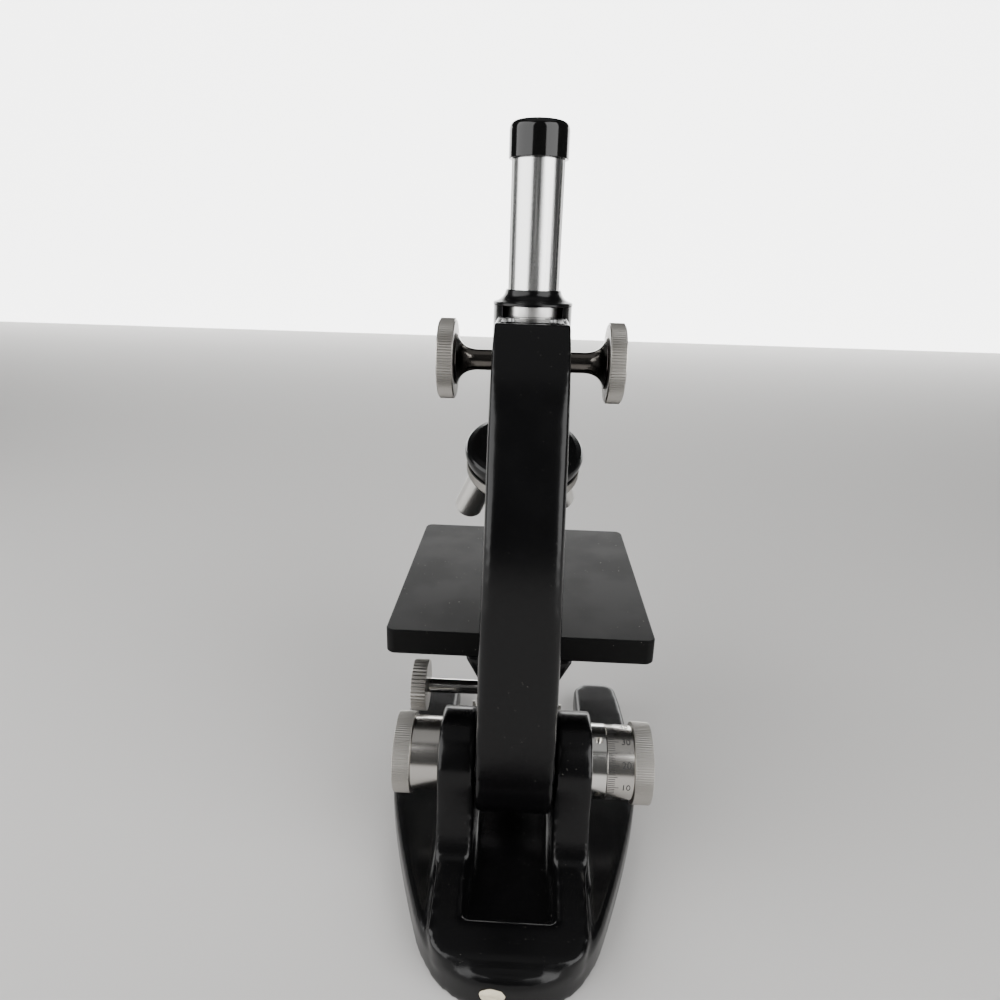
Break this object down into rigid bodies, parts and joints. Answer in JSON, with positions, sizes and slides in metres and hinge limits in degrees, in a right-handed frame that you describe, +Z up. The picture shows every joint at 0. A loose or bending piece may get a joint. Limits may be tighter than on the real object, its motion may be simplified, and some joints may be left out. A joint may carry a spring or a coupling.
{
  "type": "microscope",
  "caption": "Upright monocular microscope on a horseshoe base, with an inclination joint, coarse and fine focus, a turning nosepiece, a fixed plain stage, a condenser and a mirror.",
  "frame": {"origin": "middle of the bounding box, on the face the base rests on", "axes": "+Z up along the optical axis, +Y away from the user (the limb is on the -Y side), +X to the user's right"},
  "size_m": [0.137, 0.2432, 0.3478],
  "materials": {
    "enamel": "gloss black enamel",
    "nickel": "satin nickel",
    "steel": "turned steel",
    "gunmetal": "blued gunmetal",
    "brass": "bare",
    "chrome": "polished",
    "mirror": "silvered glass",
    "cap": "gloss black",
    "glass": "clear"
  },
  "bodies": {
    "base": {"base_casting": "enamel"},
    "limb": {"limb_casting": "enamel", "trunnion_left": "steel", "trunnion_right": "steel", "tension_collar": "nickel", "head_cover": "enamel", "head_screws": "steel", "stage_plate": "enamel", "stage_screws": "steel", "condenser_guide": "enamel", "mirror_bracket": "enamel"},
    "fine_knob": {"fine_shaft": "steel", "fine_pinion": "steel", "fine_drum_left": "nickel", "fine_flange_left": "nickel", "fine_drum_right": "nickel", "fine_flange_right": "nickel"},
    "fine_wheel": {"reduction_wheel": "brass", "focus_cam": "steel"},
    "coarse_block": {"coarse_block": "enamel", "push_rod": "steel"},
    "coarse_knob": {"coarse_shaft": "steel", "coarse_pinion": "steel", "coarse_hub_left": "gunmetal", "coarse_hub_right": "gunmetal", "coarse_knob_left": "nickel", "coarse_knob_right": "nickel"},
    "tube": {"body_tube": "enamel", "tube_slide": "steel", "tube_rack": "brass", "tube_ring": "chrome", "tube_flare": "enamel", "eyepiece_tube": "chrome", "nosepiece_housing": "enamel", "nosepiece_pivot": "steel"},
    "turret": {"turret_plate": "enamel", "turret_ring": "nickel", "objective_low": "chrome", "objective_medium": "chrome", "objective_high": "chrome", "front_lens_low": "glass", "front_lens_medium": "glass", "front_lens_high": "glass"},
    "eyepiece": {"eyepiece_barrel": "chrome", "eyepiece_cap": "cap", "eye_lens": "glass", "field_lens": "glass"},
    "condenser": {"condenser_slide": "enamel", "condenser_rack": "brass", "condenser_body": "nickel", "condenser_lens": "glass", "filter_carrier": "enamel"},
    "iris": {"iris_ring": "nickel"},
    "condenser_knob": {"condenser_shaft": "steel", "condenser_pinion": "steel", "condenser_knob": "nickel"},
    "fork": {"mirror_fork": "nickel"},
    "mirror": {"mirror_frame": "nickel", "mirror_plane": "mirror", "mirror_concave": "mirror"}
  },
  "joints": [
    {"name": "inclination", "type": "hinge", "parent": "base", "child": "limb", "pos_m": [0, -0.0406, 0.06], "axis": [1, 0, 0], "range_deg": [0, 90]},
    {"name": "fine_focus", "type": "hinge", "parent": "limb", "child": "fine_knob", "pos_m": [0, -0.0406, 0.06], "axis": [1, 0, 0], "range_deg": [-901, 901]},
    {"name": "fine_reduction", "type": "hinge", "parent": "limb", "child": "fine_wheel", "pos_m": [0, -0.0406, 0.0785], "axis": [1, 0, 0], "range_deg": [-141, 141]},
    {"name": "fine_slide", "type": "slide", "parent": "limb", "child": "coarse_block", "axis": [0, 0, 1], "range_m": [-0.0005, 0.0005]},
    {"name": "coarse_focus", "type": "hinge", "parent": "coarse_block", "child": "coarse_knob", "pos_m": [0, -0.0006, 0.244], "axis": [1, 0, 0], "range_deg": [-72, 478]},
    {"name": "tube_travel", "type": "slide", "parent": "coarse_block", "child": "tube", "axis": [0, 0, 1], "range_m": [-0.006, 0.04]},
    {"name": "nosepiece", "type": "hinge", "parent": "tube", "child": "turret", "pos_m": [-0.00202, 0.05914, 0.1755], "axis": [0.0387, -0.3398, 0.9397], "continuous": true},
    {"name": "eyepiece_pull", "type": "slide", "parent": "tube", "child": "eyepiece", "axis": [0, 0, 1], "range_m": [0, 0.036]},
    {"name": "condenser_focus", "type": "hinge", "parent": "limb", "child": "condenser_knob", "pos_m": [0, 0.0044, 0.0675], "axis": [1, 0, 0], "range_deg": [-144, 0]},
    {"name": "condenser_travel", "type": "slide", "parent": "limb", "child": "condenser", "axis": [0, 0, 1], "range_m": [-0.012, 0]},
    {"name": "iris_lever", "type": "hinge", "parent": "condenser", "child": "iris", "pos_m": [0, 0.0414, 0.076], "axis": [0, 0, 1], "range_deg": [-40, 40]},
    {"name": "fork_swivel", "type": "hinge", "parent": "limb", "child": "fork", "pos_m": [0, -0.0016, 0.03], "axis": [0, 1, 0], "range_deg": [-40, 40]},
    {"name": "mirror_tilt", "type": "hinge", "parent": "fork", "child": "mirror", "pos_m": [0, 0.0414, 0.03], "axis": [1, 0, 0], "continuous": true}
  ],
  "couplings": [
    {"joint": "fine_focus", "follows": "fine_slide", "rad_per_m": 31416},
    {"joint": "fine_reduction", "follows": "fine_slide", "rad_per_m": -4908.7},
    {"joint": "coarse_focus", "follows": "tube_travel", "rad_per_m": 208.33},
    {"joint": "condenser_focus", "follows": "condenser_travel", "rad_per_m": 208.33}
  ]
}
